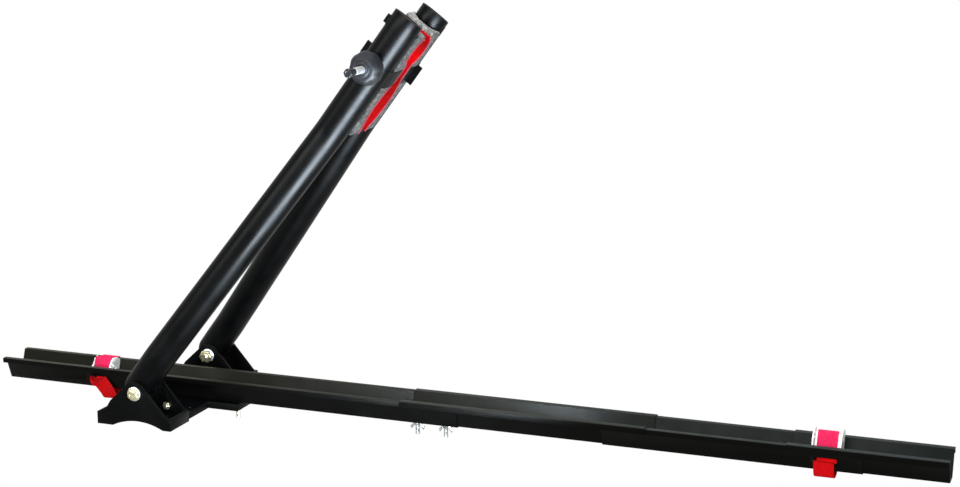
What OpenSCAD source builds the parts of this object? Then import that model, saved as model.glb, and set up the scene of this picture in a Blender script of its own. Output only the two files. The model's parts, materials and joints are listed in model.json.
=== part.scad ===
// Upright bike carrier for a roof bar, in millimetres.
// X runs along the wheel tray, Y across it, Z up; the origin is the middle of the roof bar seat.

/* [Wheel tray] */
// Length of the whole tray
tray_l = 1400; // [1300:5:1500]
// Tray end to the middle of the roof bar seat
tray_lead = 288; // [270:1:310]
// Sheet thickness of the tray
tray_t = 1.2; // [0.9:0.1:1.6]
// Width of the flat floor of the tray
floor_w = 26; // [22:1:32]
// Width between the tops of the two walls
mouth_w = 50; // [46:1:56]
// Width over the two folded lips
lip_w = 66; // [62:1:74]
// Height of the tray over its floor
tray_h = 34.5; // [30:0.5:40]
// Depth of the folded lip
lip_drop = 7; // [5:0.5:9]
// End of the first section
first_end = 730; // [710:1:760]
// Start of the long upper section
long_start = 650; // [640:1:660]
// End of the long upper section
long_end = 1004; // [990:1:1020]
// Start of the short lower section
short_start = 940; // [930:1:950]
// Start of the last section
last_start = 1193; // [1180:1:1200]
// End of the short lower section
short_end = 1290; // [1280:1:1310]
// Gap between sections that lie in each other
nest_gap = 0.1; // [0.05:0.05:0.3]

/* [Base] */
// Width of the roof bar seat along the tray
seat_l = 60; // [50:1:70]
// Thickness of the rubber under the cross channel
rubber_t = 2; // [1.5:0.5:3]
// Sheet thickness of the base
base_t = 3; // [2.5:0.5:4]
// Half width of the cross channel along the tray
cross_half = 56; // [54:1:60]
// Depth of the folded edges of the base
edge_drop = 10; // [7:0.5:12]
// Half width of the rail under the tray
rail_half = 24; // [22:1:28]
// Reach of the rail towards the near end of the tray
rail_back = 83; // [78:1:90]
// Reach of the rail towards the middle of the tray
rail_front = 104; // [102:1:112]
// Middle of each bracket to the middle of the tray
bracket_y = 107.5; // [104:0.5:112]
// Play between an arm tube and each cheek of its bracket
cheek_play = 1.7; // [1.6:0.1:2.5]
// Clear height of the roof bar arch over the seat
arch_rise = 1.5; // [1:0.5:3]
// Depth of the bracket feet below the seat
foot_drop = 8; // [6:0.5:12]
// Half width of the roof bar arch
arch_half = 40; // [36:1:41]
// Reach of the bracket towards the near end of the tray
cheek_back = 62; // [58:1:70]
// Reach of the bracket towards the middle of the tray
cheek_front = 56; // [54:1:62]
// Height of the tab that joins the cross channel to a bracket
tab_h = 18; // [16:0.5:20]
// Diameter of the holes for the roof bar clamps
clamp_hole_d = 8.5; // [6.5:0.5:9]

/* [Arms] */
// Pivot to the middle of the seat, along the tray
pivot_x = 0; // [-4:0.5:4]
// Height of the pivot over the seat
pivot_z = 42; // [40:0.5:46]
// Lean of the arms from level
lean = 53.3; // [45:0.1:65]
// Outer diameter of the arm tubes
tube_d = 44; // [40:0.5:48]
// Wall of the arm tubes
tube_t = 2; // [1.5:0.1:3]
// Pivot to the end of the arm
arm_l = 659; // [600:1:700]
// Bend of the arm to its upper end
head_l = 196; // [193:1:204]
// Arm tube axis behind the pivot
arm_offset = 7; // [5:0.5:8]
// Half the distance between the tube axes at the jaws
head_half = 48; // [46:0.5:52]
// Pivot to the first bend of the arm
foot_l = 52; // [48:1:60]
// Diameter of the pivot bolts
pivot_d = 10; // [8:0.5:12]

/* [Jaws] */
// Half of the gap between the closed jaws
jaw_half = 8; // [5:0.5:9]
// Lower end of the pads to the end of the arm
pad_low = 186; // [182:1:188]
// Upper end of the pads to the end of the arm
pad_high = 15; // [9:1:18]
// Half width of the pads
pad_half = 24; // [23:0.5:26]
// Thickness of the red liners
liner_t = 2.5; // [1.5:0.5:4]
// Radius of the upper frame seat
seat_r = 25; // [22:0.5:26]
// Depth of the upper frame seat
seat_depth = 13; // [10:0.5:13.5]
// Length of the lower frame seat
low_seat_l = 84; // [76:1:86]
// Depth of the lower frame seat
low_seat_depth = 10; // [7:0.5:12]
// Width of the wide band at the stud
band_w = 30; // [26:1:32]
// Width of the narrow band at the top
top_band_w = 15; // [12:1:18]
// Sheet thickness of the bands
band_t = 1.5; // [1:0.1:2]
// Reach of the ears on the bands
ear_reach = 10; // [6:0.5:12]

/* [Clamp screw] */
// Clamp stud to the end of the arm
stud_low = 80; // [76:1:82]
// Diameter of the clamp stud
stud_d = 10; // [8:0.5:12]
// Reach of the stud tip from the middle of the carrier
stud_tip = 148; // [142:1:160]
// Diameter of the knob at its rim
knob_d = 50; // [44:1:56]
// Diameter of the knob at its outer face
knob_face_d = 36; // [32:1:40]
// Height of the knob
knob_h = 23; // [20:1:26]
// Number of grips round the knob
knob_lobes = 8; // [6:1:10]
// Thickness of the washer under the knob
thrust_t = 2; // [1.5:0.5:3]
// Play round the stud in the near arm
swing_play = 1.2; // [1.2:0.1:2]
// Length of the swing slot in the near arm
swing_slot_l = 5.5; // [5:0.5:8]

/* [Wheel straps] */
// Width of the webbing
web_w = 30; // [25:1:32]
// Thickness of the webbing
web_t = 1.8; // [1.2:0.1:2.2]
// Near strap to the near end of the tray
near_strap_at = 150; // [130:1:165]
// Far strap to the near end of the tray
far_strap_at = 1240; // [1225:1:1255]
// Height of the strap slot over the tray floor
slot_z = 15; // [13:0.5:18]
// Height of the strap slot
slot_h = 7; // [6:0.5:8]
// Sag of the strap below the tray
strap_sag = 12; // [6:0.5:16]
// Width of the buckle over its cheeks
buckle_w = 40; // [38:0.5:44]
// Length of the buckle up the wall
buckle_l = 28; // [26:1:30]
// Diameter of the buckle pin
buckle_pin_d = 4; // [3:0.5:5]
// Length of the buckle lever
lever_l = 20; // [16:1:24]

/* [Hidden] */
$fn = 48;

// Clearances
run_gap = 0.05;
soft_gap = 0.3;
seat_gap = 0.1;
slip = 0.3;
eps = 1;

// Tray frame: its near end and the underside of its floor
tray_x = -tray_lead;
tray_z = rubber_t + base_t;
wall_lean = atan((mouth_w - floor_w) / 2 / (tray_h - tray_t));
nest = tray_t + nest_gap;
nest_side = nest * (tan(wall_lean) - 1 / cos(wall_lean));
floor_top = tray_z + tray_t;

// Fasteners: head width across corners over shank, head height, washer and nut
hex_ratio = 1.9;
head_ratio = 0.6;
nut_ratio = 0.8;
washer_ratio = 2;
washer_t = 2;
m6 = 6;
rivet_d = 5;
hole_gap = 0.25;

// Bracket and cross channel
cheek_half = tube_d / 2 + cheek_play;
cheek_in = bracket_y - cheek_half;
cheek_out = bracket_y + cheek_half;
cheek_face = cheek_out + base_t;
cheek_back_face = cheek_in - base_t;
boss_r = 17;
wall_h = 18;
arch_mid = 3;
arch_r = (arch_half * arch_half + pow(foot_drop + arch_rise, 2)) / (2 * (foot_drop + arch_rise));
tab_half = 32;
tab_bolt_x = 23;
tab_bolt_z = tray_z + 8;
rail_bolt_back = -69;
rail_bolt_front = 92;
rail_bolt_l = 28;
clamp_hole_x = 47;
clamp_hole_y = 60;
clamp_screw_d = 5;
clamp_screw_x = [-50, (arch_mid + arch_half + cheek_front - base_t) / 2 + 0.2];

// Arm: local frame of X off the arm, Y across, Z along it from the pivot
bend_at = arm_l - head_l;
pad_from = arm_l - pad_low;
pad_to = arm_l - pad_high;
stud_at = arm_l - stud_low;
flare =atan((bracket_y - head_half) / (bend_at - foot_l));
leg_l = (bend_at - foot_l) / cos(flare);
tube_r = tube_d / 2;
bore_r = tube_r - tube_t;
mitre_run = tube_r * tan(flare / 2) + 2;
mitre_reach = 3 * tube_d;
foot_end = 12;
foot_end_r = tube_r + 2;
sleeve_d = pivot_d + 6;
swing_bore = pivot_d / 2 + 1.5;
plug_t = 3;
plug_l = 14;

// Jaws
liner_back = jaw_half + liner_t;
pad_back = head_half - 8;
seat_chord = sqrt(seat_r * seat_r - pow(seat_r - seat_depth, 2));
seat_at = stud_at + 14 + seat_chord;
low_seat_r = (pow(low_seat_l / 2, 2) + pow(low_seat_depth, 2)) / (2 * low_seat_depth);
low_seat_at = stud_at - 14 - low_seat_l / 2;
band_in = tube_r + 0.2;
band_side = pad_half + 0.2;
band_end = 14;
band_face = head_half + band_in + band_t;
top_band_at = pad_to - top_band_w / 2 - 2;
ear_t = 2;

// Clamp screw
thrust_face = band_face + slip;
knob_base = thrust_face + thrust_t + seat_gap;
insert_r = stud_d / 2 + 3;
knob_washer_d = 2 * swing_slot_l + stud_d + 2 * swing_play + 8;
stud_head = band_face + washer_t + 2 * seat_gap;

// Wheel straps: inside of the rear wall, local U up the wall and N into the tray
web_gap = 0.4;
buckle_t = 2;
buckle_from = 6;
cam_r = 4.6;
cam_n = seat_gap + buckle_t + web_gap + web_t + web_gap + cam_r;
cheek_t = 2.4;
cheek_h = cam_n + buckle_pin_d / 2 + 2;
cam_u = buckle_from + buckle_l / 2;
wall_in = tray_t / 2 / cos(wall_lean);

module sheet_line(points, t) {
    for (i = [0 : len(points) - 2]) {
        a = points[i];
        b = points[i + 1];
        translate(a) rotate(atan2(b[1] - a[1], b[0] - a[0])) translate([0, -t / 2])
            square([norm(b - a), t]);
    }
    for (i = [1 : len(points) - 2]) translate(points[i]) circle(d = t, $fn = 32);
}

module hex_prism(across, h) {
    cylinder(d = across, h = h, $fn = 6);
}

module hex_bolt(d, length) {
    cylinder(d = d, h = length);
    translate([0, 0, -d * head_ratio]) hex_prism(d * hex_ratio, d * head_ratio);
}

module hex_nut(d) {
    difference() {
        hex_prism(d * hex_ratio, d * nut_ratio);
        translate([0, 0, -eps]) cylinder(d = d + 2 * run_gap, h = d * nut_ratio + 2 * eps);
    }
}

module flat_washer(d, across, t) {
    difference() {
        cylinder(d = across, h = t);
        translate([0, 0, -eps]) cylinder(d = d + 2 * hole_gap, h = t + 2 * eps);
    }
}

// Turn a piece drawn along Z to point outwards from the middle on side s
module outward(s) {
    rotate([-90 * s, 0, 0]) children();
}

// Tray sections: upper ones lie inside the lower ones and hook over their lips
function tray_points(level) =
    let (up = level * nest, side = level * nest_side,
         low = tray_z + tray_t / 2 + up, top = tray_z + tray_h - tray_t / 2 + up,
         foot = floor_w / 2 + side, mouth = mouth_w / 2 + side, lip = lip_w / 2 - tray_t / 2 + up,
         hem = tray_z + tray_h - lip_drop)
    [[-lip, hem], [-lip, top], [-mouth, top], [-foot, low], [foot, low], [mouth, top], [lip, top], [lip, hem]];

module tray_section(from, to, level) {
    translate([tray_x + from, 0, 0]) rotate([90, 0, 90]) linear_extrude(to - from)
        sheet_line(tray_points(level), tray_t);
}

module floor_holes(places, d) {
    for (x = places) translate([tray_x + x, 0, tray_z - eps]) cylinder(d = d, h = tray_t + nest + 2 * eps);
}

module strap_slot(at) {
    translate([tray_x + at - web_w / 2 - 2, -mouth_w / 2, tray_z + slot_z - slot_h / 2])
        cube([web_w + 4, mouth_w / 2 - floor_w / 4, slot_h]);
}

joiner_spread = 43;
joiner_at = [for (k = [-0.5, 0.5]) (long_start + first_end) / 2 - 4 + k * joiner_spread];
saddle_bolt_at = [tray_lead + rail_bolt_back, tray_lead + rail_bolt_front];
rivet_at = [for (pair = [[short_start, long_end], [last_start, short_end]], k = [-0.5, 0.5])
            (pair[0] + pair[1]) / 2 + k * (pair[1] - pair[0]) / 2];
bolt_hole = m6 + 2 * hole_gap;

module first_section() {
    color([0.10, 0.10, 0.09]) difference() {
        tray_section(0, first_end, 0);
        floor_holes(saddle_bolt_at, bolt_hole);
        floor_holes(joiner_at, bolt_hole);
        strap_slot(near_strap_at);
    }
}

module long_section() {
    color([0.12, 0.12, 0.11]) difference() {
        tray_section(long_start, long_end, 1);
        floor_holes(joiner_at, bolt_hole);
        floor_holes(rivet_at, rivet_d + 2 * run_gap);
    }
}

module short_section() {
    color([0.10, 0.10, 0.09]) difference() {
        tray_section(short_start, short_end, 0);
        floor_holes(rivet_at, rivet_d + 2 * run_gap);
        strap_slot(far_strap_at);
    }
}

module last_section() {
    color([0.12, 0.12, 0.11]) difference() {
        tray_section(last_start, tray_l, 1);
        floor_holes(rivet_at, rivet_d + 2 * run_gap);
        strap_slot(far_strap_at);
    }
}

module coach_bolt(x, top, length) {
    dome_r = m6 * 1.25;
    translate([x, 0, top]) {
        difference() {
            translate([0, 0, 3 - dome_r]) sphere(r = dome_r);
            translate([0, 0, -2 * dome_r]) cube(4 * dome_r, center = true);
        }
        translate([0, 0, -length]) cylinder(d = m6, h = length + eps);
    }
}

joiner_l = 22;
wing_w = 9;

module joiner_bolts() {
    color([0.72, 0.70, 0.62]) for (x = joiner_at) coach_bolt(tray_x + x, floor_top + nest, joiner_l);
}

module wing_nuts() {
    color([0.70, 0.70, 0.68]) for (x = joiner_at) translate([tray_x + x, 0, tray_z - seat_gap]) difference() {
        union() {
            translate([0, 0, -6]) cylinder(d1 = m6 * 1.5, d2 = m6 * 1.9, h = 6);
            for (s = [-1, 1]) rotate([90, 0, 0]) translate([0, 0, -1]) linear_extrude(2)
                polygon([[s * 3.4, -1], [s * 3.4, -5.5], [s * wing_w, -13], [s * (wing_w + 2), -9]]);
        }
        translate([0, 0, -7]) cylinder(d = m6 + 2 * run_gap, h = 8);
    }
}

module joiner_rivets() {
    stack = tray_t + nest;
    color([0.55, 0.55, 0.54]) for (x = rivet_at) translate([tray_x + x, 0, tray_z]) {
        translate([0, 0, -1.5]) cylinder(d = rivet_d * 1.8, h = 1.5 - seat_gap / 2);
        translate([0, 0, -1]) cylinder(d = rivet_d, h = stack + 2);
        translate([0, 0, stack + seat_gap / 2]) cylinder(d = rivet_d * 1.8, h = 1.5);
    }
}

// Base: a cross shaped pressing with its edges folded down and a tab up at each bracket
module saddle_plan(inset) {
    square([2 * (cross_half - inset), 2 * (cheek_back_face - inset)], center = true);
    translate([-rail_back + inset, -rail_half + inset])
        square([rail_back + rail_front - 2 * inset, 2 * (rail_half - inset)]);
}

module saddle() {
    color([0.08, 0.08, 0.09]) difference() {
        union() {
            translate([0, 0, tray_z - edge_drop]) linear_extrude(edge_drop) saddle_plan(0);
            for (s = [-1, 1]) {
                translate([-tab_half, s > 0 ? cheek_back_face - base_t : -cheek_back_face, tray_z - eps])
                    cube([2 * tab_half, base_t, tab_h + eps]);
            }
        }
        translate([0, 0, tray_z - edge_drop - eps]) linear_extrude(edge_drop - base_t + eps) {
            saddle_plan(base_t);
            // The roof bar passes under the cross channel
            square([2 * (cross_half - base_t), 2 * cheek_back_face + 2 * eps], center = true);
        }
        for (x = [-clamp_hole_x, clamp_hole_x], y = [-clamp_hole_y, clamp_hole_y])
            translate([x, y, tray_z - base_t - eps]) cylinder(d = clamp_hole_d, h = base_t + 2 * eps);
        for (x = [rail_bolt_back, rail_bolt_front])
            translate([x, 0, tray_z - base_t - eps]) cylinder(d = bolt_hole, h = base_t + 2 * eps);
        for (x = [-tab_bolt_x, tab_bolt_x]) translate([x, cheek_back_face + eps, tab_bolt_z])
            rotate([90, 0, 0]) cylinder(d = bolt_hole, h = 2 * cheek_back_face + 2 * eps);
    }
}

module seat_rubber() {
    half_y = cheek_back_face - base_t - soft_gap;
    color([0.05, 0.05, 0.05]) difference() {
        translate([-seat_l / 2, -half_y, 0]) cube([seat_l, 2 * half_y, rubber_t - seat_gap]);
        for (y = [-3.5 : 3.5]) translate([-seat_l / 2 - eps, y * half_y / 4, 0]) rotate([0, 90, 0])
            cylinder(d = rubber_t, h = seat_l + 2 * eps, $fn = 24);
    }
}

module cheek_outline() {
    difference() {
        union() {
            polygon([[-cheek_back, -foot_drop], [-cheek_back, wall_h - foot_drop],
                     [-cheek_back + 15, wall_h - foot_drop + 7], [-cheek_back + 22, wall_h - foot_drop + 18],
                     [pivot_x - boss_r * 0.75, pivot_z + boss_r * 0.66],
                     [pivot_x + boss_r * 0.74, pivot_z + boss_r * 0.67],
                     [cheek_front - 6, wall_h - foot_drop], [cheek_front, wall_h - foot_drop],
                     [cheek_front, -foot_drop]]);
            translate([pivot_x, pivot_z]) circle(r = boss_r);
        }
        arch_cut(0);
    }
}

// Space of the roof bar under a bracket
module arch_cut(t) {
    intersection() {
        translate([arch_mid, arch_rise - arch_r]) circle(r = arch_r + t, $fn = 128);
        translate([-cheek_back - eps, -foot_drop - eps])
            square([cheek_back + cheek_front + 2 * eps, foot_drop + arch_rise + t + 2 * eps]);
    }
}

// Floor over the roof bar, with a wall at each end
module bracket_floor() {
    difference() {
        union() {
            intersection() {
                arch_cut(base_t);
                translate([-cheek_back, -foot_drop]) square([cheek_back + cheek_front, foot_drop + arch_rise + base_t]);
            }
            translate([-cheek_back, -foot_drop]) square([cheek_back + cheek_front, base_t]);
            translate([-cheek_back, -foot_drop]) square([base_t, wall_h]);
            translate([cheek_front - base_t, -foot_drop]) square([base_t, wall_h]);
        }
        arch_cut(0);
    }
}

module bracket(s) {
    width = cheek_face - cheek_back_face;
    color([0.07, 0.07, 0.08]) difference() {
        union() {
            for (y = [cheek_back_face, cheek_out])
                translate([0, s > 0 ? y + base_t : -y, 0]) rotate([90, 0, 0]) linear_extrude(base_t) cheek_outline();
            translate([0, s * bracket_y + width / 2, 0]) rotate([90, 0, 0]) linear_extrude(width) bracket_floor();
        }
        translate([pivot_x, s * bracket_y, pivot_z]) rotate([90, 0, 0])
            cylinder(d = pivot_d + 2 * run_gap, h = width + 2 * eps, center = true);
        for (x = [-tab_bolt_x, tab_bolt_x]) translate([x, s * cheek_in + (s > 0 ? eps : base_t + eps), tab_bolt_z])
            rotate([90, 0, 0]) cylinder(d = bolt_hole, h = base_t + 2 * eps);
        for (x = clamp_screw_x) translate([x, s * bracket_y, -foot_drop - eps])
            cylinder(d = clamp_screw_d + 2 * hole_gap, h = base_t + 2 * eps);
    }
}

module near_bracket() bracket(-1);
module far_bracket() bracket(1);

module saddle_bolts() {
    color([0.72, 0.70, 0.62]) for (x = [rail_bolt_back, rail_bolt_front]) coach_bolt(x, floor_top, rail_bolt_l);
}

module saddle_nuts() {
    color([0.72, 0.70, 0.62]) for (x = [rail_bolt_back, rail_bolt_front])
        translate([x, 0, tray_z - base_t - seat_gap - m6 * nut_ratio]) hex_nut(m6);
}

tab_bolt_l = 2 * base_t + m6 * nut_ratio + 2;

module bracket_bolts() {
    color([0.72, 0.70, 0.62]) for (s = [-1, 1], x = [-tab_bolt_x, tab_bolt_x])
        translate([x, s * (cheek_back_face - base_t - seat_gap), tab_bolt_z]) outward(s)
            hex_bolt(m6, tab_bolt_l);
}

module bracket_nuts() {
    color([0.72, 0.70, 0.62]) for (s = [-1, 1], x = [-tab_bolt_x, tab_bolt_x])
        translate([x, s * (cheek_in + seat_gap), tab_bolt_z]) outward(s) hex_nut(m6);
}

module clamp_screws() {
    color([0.75, 0.62, 0.35]) for (s = [-1, 1], x = clamp_screw_x)
        translate([x, s * bracket_y, base_t - foot_drop + seat_gap]) rotate([180, 0, 30])
            hex_bolt(clamp_screw_d, base_t);
}

pivot_span = cheek_face - cheek_back_face + 2 * washer_t + 4 * seat_gap;
pivot_nut_h = pivot_d * nut_ratio;

module pivot_bolts() {
    color([0.75, 0.75, 0.73]) for (s = [-1, 1])
        translate([pivot_x, s * (cheek_face + washer_t + 2 * seat_gap), pivot_z]) outward(-s)
            hex_bolt(pivot_d, pivot_span + pivot_nut_h + 3);
}

module pivot_washers() {
    color([0.80, 0.80, 0.78]) for (s = [-1, 1]) {
        translate([pivot_x, s * (cheek_face + seat_gap), pivot_z]) outward(s)
            flat_washer(pivot_d, pivot_d * washer_ratio, washer_t);
        translate([pivot_x, s * (cheek_back_face - seat_gap), pivot_z]) outward(-s)
            flat_washer(pivot_d, pivot_d * washer_ratio, washer_t);
    }
}

module pivot_nuts() {
    color([0.75, 0.75, 0.73]) for (s = [-1, 1])
        translate([pivot_x, s * (cheek_back_face - washer_t - 2 * seat_gap), pivot_z]) outward(-s) hex_nut(pivot_d);
}

// Arm frame: Z runs up the arm from the pivot, X off it to the lower side
module arm_frame() {
    translate([pivot_x, 0, pivot_z]) rotate([0, 90 - lean, 0]) children();
}

// The foot and the head run straight up, and the leg between them leans to the middle
module foot_run(s, r, start) {
    translate([-arm_offset, s * bracket_y, start]) cylinder(r = r, h = foot_l + mitre_run - start);
}

// Leg and head meet in a mitre, as two cylinders that mirror each other in its plane
module leg_run(s, r, end, over) {
    translate([-arm_offset, 0, 0]) mirror([0, s > 0 ? 0 : 1, 0])
        translate([0, head_half, bend_at]) rotate([flare / 2, 0, 0])
            for (half = [[0, end - bend_at], [1, leg_l + over]]) mirror([0, 0, half[0]]) difference() {
                rotate([-flare / 2, 0, 0]) translate([0, 0, -mitre_run]) cylinder(r = r, h = half[1] + mitre_run);
                translate([-mitre_reach / 2, -mitre_reach / 2, -mitre_reach]) cube(mitre_reach);
            }
}

// Everything on one side of the plane between the foot and the leg
module mitre_side(s, z, side) {
    translate([-arm_offset, s * bracket_y, z]) rotate([s * flare / 2, 0, 0])
        translate([-mitre_reach / 2, -mitre_reach / 2, side > 0 ? 0 : -mitre_reach]) cube(mitre_reach);
}

// Way of the stud through the near arm, long enough for the arm to swing
module swing_slot(s) {
    translate([-arm_offset, 0, stud_at]) rotate([-90 * s, 0, 0]) {
        for (shift = [0, swing_slot_l]) translate([0, s < 0 ? -shift : shift, 0])
            cylinder(d = stud_d + 2 * swing_play, h = 2 * head_half);
        translate([-stud_d / 2 - swing_play, s < 0 ? -swing_slot_l : 0, 0])
            cube([stud_d + 2 * swing_play, swing_slot_l, 2 * head_half]);
    }
}

module stud_way(s) {
    if (s < 0) swing_slot(s);
    else translate([-arm_offset, 0, stud_at]) rotate([-90, 0, 0]) cylinder(d = stud_d + 2 * hole_gap, h = 2 * head_half);
}

module arm_tube(s) {
    color([0.06, 0.06, 0.07]) arm_frame() difference() {
        leg_run(s, tube_r, arm_l, mitre_run);
        leg_run(s, bore_r, arm_l + eps, mitre_run + eps);
        mitre_side(s, foot_l, -1);
        stud_way(s);
    }
}

module near_arm() arm_tube(-1);
module far_arm() arm_tube(1);

module arm_foot(s) {
    color([0.06, 0.06, 0.07]) arm_frame() difference() {
        foot_run(s, tube_r, foot_end - foot_end_r);
        translate([0, 0, -eps]) foot_run(s, bore_r, foot_end - foot_end_r);
        mitre_side(s, foot_l - seat_gap, 1);
        // Round end, clear of the bracket as the arm folds
        translate([-arm_offset, s * bracket_y, foot_end]) rotate([90, 0, 0]) difference() {
            translate([-2 * tube_r, -2 * foot_end_r, -tube_d]) cube([4 * tube_r, 2 * foot_end_r, 2 * tube_d]);
            cylinder(r = foot_end_r, h = 2 * tube_d + 2 * eps, center = true);
        }
        translate([0, s * bracket_y, 0]) rotate([90, 0, 0])
            cylinder(d = sleeve_d, h = tube_d + 2 * eps, center = true);
    }
}

module near_foot() arm_foot(-1);
module far_foot() arm_foot(1);

module pivot_sleeve(s, bore, length) {
    color([0.85, 0.85, 0.80]) arm_frame() translate([0, s * bracket_y, 0]) rotate([90, 0, 0]) difference() {
        cylinder(d = sleeve_d - 2 * run_gap, h = length, center = true);
        cylinder(r = bore, h = length + 2 * eps, center = true);
    }
}

module near_sleeve() pivot_sleeve(-1, swing_bore, tube_d + 0.4);
module far_sleeve() pivot_sleeve(1, pivot_d / 2 + run_gap, 2 * cheek_half - 2 * seat_gap);

module tube_plug(s) {
    color([0.13, 0.13, 0.14]) arm_frame() translate([-arm_offset, s * head_half, arm_l]) difference() {
        union() {
            translate([0, 0, seat_gap]) cylinder(r = tube_r - 0.6, h = plug_t);
            translate([0, 0, -plug_l]) cylinder(r = bore_r - run_gap, h = plug_l + 2 * seat_gap);
        }
        translate([0, 0, -plug_l - eps]) cylinder(r = bore_r - 2.5, h = plug_l);
        translate([0, 0, seat_gap + plug_t - 0.8]) cylinder(r = tube_r - 4, h = plug_t);
    }
}

module near_plug() tube_plug(-1);
module far_plug() tube_plug(1);

// Jaw profile seen across the arm, with U along the arm and V out from the middle
module jaw_profile(face, skin) {
    difference() {
        translate([pad_from, face]) square([pad_to - pad_from, pad_back - face]);
        translate([seat_at, jaw_half + seat_depth - seat_r]) circle(r = seat_r + skin, $fn = 96);
        translate([low_seat_at, jaw_half + low_seat_depth - low_seat_r]) circle(r = low_seat_r + skin, $fn = 256);
    }
}

module jaw_block(s) {
    arm_frame() difference() {
        translate([-arm_offset - pad_half, 0, 0]) rotate([90, 0, 90]) mirror([s > 0 ? 0 : 1, 0])
            linear_extrude(2 * pad_half) rotate(90) mirror([0, 1]) children();
        translate([-arm_offset, s * head_half, bend_at - tube_r]) cylinder(r = tube_r + soft_gap, h = arm_l - bend_at + 2 * tube_r);
        translate([-arm_offset, s * bracket_y, foot_l]) rotate([s * flare, 0, 0]) cylinder(r = tube_r + soft_gap, h = leg_l);
        stud_way(s);
    }
}

module jaw_pad(s) {
    color([0.72, 0.73, 0.71]) jaw_block(s) jaw_profile(liner_back + seat_gap, liner_t + seat_gap);
}

module jaw_liner(s) {
    color([0.85, 0.07, 0.07]) jaw_block(s) difference() {
        jaw_profile(jaw_half, 0);
        offset_profile();
    }
}

// What lies behind the liner
module offset_profile() {
    difference() {
        translate([pad_from - eps, liner_back]) square([pad_to - pad_from + 2 * eps, pad_back]);
        translate([seat_at, jaw_half + seat_depth - seat_r]) circle(r = seat_r + liner_t, $fn = 96);
        translate([low_seat_at, jaw_half + low_seat_depth - low_seat_r]) circle(r = low_seat_r + liner_t, $fn = 256);
    }
}

module near_pad() jaw_pad(-1);
module far_pad() jaw_pad(1);
module near_liner() jaw_liner(-1);
module far_liner() jaw_liner(1);

// Bands hold each pad on its tube; an ear stands off where the band closes
module band_section() {
    end = band_end - head_half;
    difference() {
        band_form(band_in + band_t, band_side + band_t, end);
        band_form(band_in, band_side, end - eps);
    }
}

module band_form(r, side, end) {
    circle(r = r, $fn = 96);
    polygon([[r, 0], [side, -6], [side, end], [-side, end], [-side, -6], [-r, 0]]);
}

module band(s, at, w, ear_side, ear_l) {
    ear_x = ear_side > 0 ? band_side + band_t / 2 : -band_side - band_t / 2 - ear_reach;
    translate([-arm_offset, s * head_half, at]) {
        translate([0, 0, -w / 2]) linear_extrude(w) mirror([0, s > 0 ? 0 : 1]) band_section();
        translate([ear_x, s > 0 ? -8 : 8 - ear_t, -ear_l / 2]) cube([ear_reach, ear_t, ear_l]);
    }
}

module arm_bands(s) {
    color([0.05, 0.05, 0.05]) arm_frame() {
        difference() {
            band(s, stud_at, band_w, s, s > 0 ? band_w : band_w * 0.6);
            stud_way(s);
        }
        band(s, top_band_at, top_band_w, s, top_band_w);
    }
}

module near_bands() arm_bands(-1);
module far_bands() arm_bands(1);

// Clamp screw: runs across both arms at the stud height
module stud_frame(s, y) {
    arm_frame() translate([-arm_offset, s * y, stud_at]) outward(s) children();
}

module stud() {
    color([0.70, 0.70, 0.70]) stud_frame(-1, -stud_head - stud_d * nut_ratio - 2)
        cylinder(d = stud_d, h = stud_tip + stud_head + stud_d * nut_ratio + 2);
}

module stud_nut() {
    color([0.72, 0.70, 0.62]) stud_frame(1, stud_head) hex_nut(stud_d);
}

module stud_washer() {
    color([0.80, 0.80, 0.78]) stud_frame(1, band_face + seat_gap) flat_washer(stud_d, stud_d * washer_ratio, washer_t);
}

module knob_washer() {
    color([0.80, 0.80, 0.78]) stud_frame(-1, thrust_face) difference() {
        cylinder(d = knob_washer_d, h = thrust_t);
        translate([0, 0, -eps]) cylinder(d = stud_d + 2 * run_gap, h = thrust_t + 2 * eps);
    }
}

module knob_form() {
    rim_r = knob_d / 2;
    face_r = knob_face_d / 2;
    rotate_extrude($fn = 96) polygon(concat(
        [[0, 0], [rim_r - 4, 0]],
        [for (a = [-90 : 15 : 0]) [rim_r - 3 + 3 * cos(a), 3 + 3 * sin(a)]],
        [for (a = [0 : 15 : 90]) [face_r + (rim_r - face_r) * pow(cos(a), 0.8), 9 + (knob_h - 12) * sin(a)]],
        [for (a = [0 : 30 : 90]) [face_r - 3 + 3 * cos(a), knob_h - 3 + 3 * sin(a)]],
        [[0, knob_h]]));
}

module knob() {
    grip_r = knob_d * 0.16;
    color([0.20, 0.21, 0.23]) stud_frame(-1, knob_base) difference() {
        knob_form();
        for (k = [0 : knob_lobes - 1]) rotate(k * 360 / knob_lobes)
            translate([knob_d / 2 + grip_r * 0.72, 0, -eps]) cylinder(r = grip_r, h = knob_h + 2 * eps);
        translate([0, 0, -eps]) cylinder(r = insert_r, h = knob_h + 2 * eps);
    }
}

module knob_insert() {
    color([0.75, 0.62, 0.35]) stud_frame(-1, knob_base) difference() {
        cylinder(r = insert_r - run_gap, h = knob_h - 1);
        translate([0, 0, -eps]) cylinder(r = stud_d / 2 + run_gap, h = knob_h + 2 * eps);
    }
}

// Straps: a loop in at the front slot, over the floor, up the rear wall and round the lip
web_off = web_t / 2 + soft_gap;
hug = tray_t / 2 + web_off;
strap_n = seat_gap + buckle_t + web_gap + web_t / 2;

function wall_point(u, n) = let (a = wall_lean, y0 = floor_w / 2, z0 = tray_z + tray_t)
    [y0 + u * sin(a) - n * cos(a) - wall_in, z0 + u * cos(a) + n * sin(a)];
function outer_point(z, n) = [floor_w / 2 + (z - tray_z) * tan(wall_lean) + n / cos(wall_lean), z];

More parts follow.
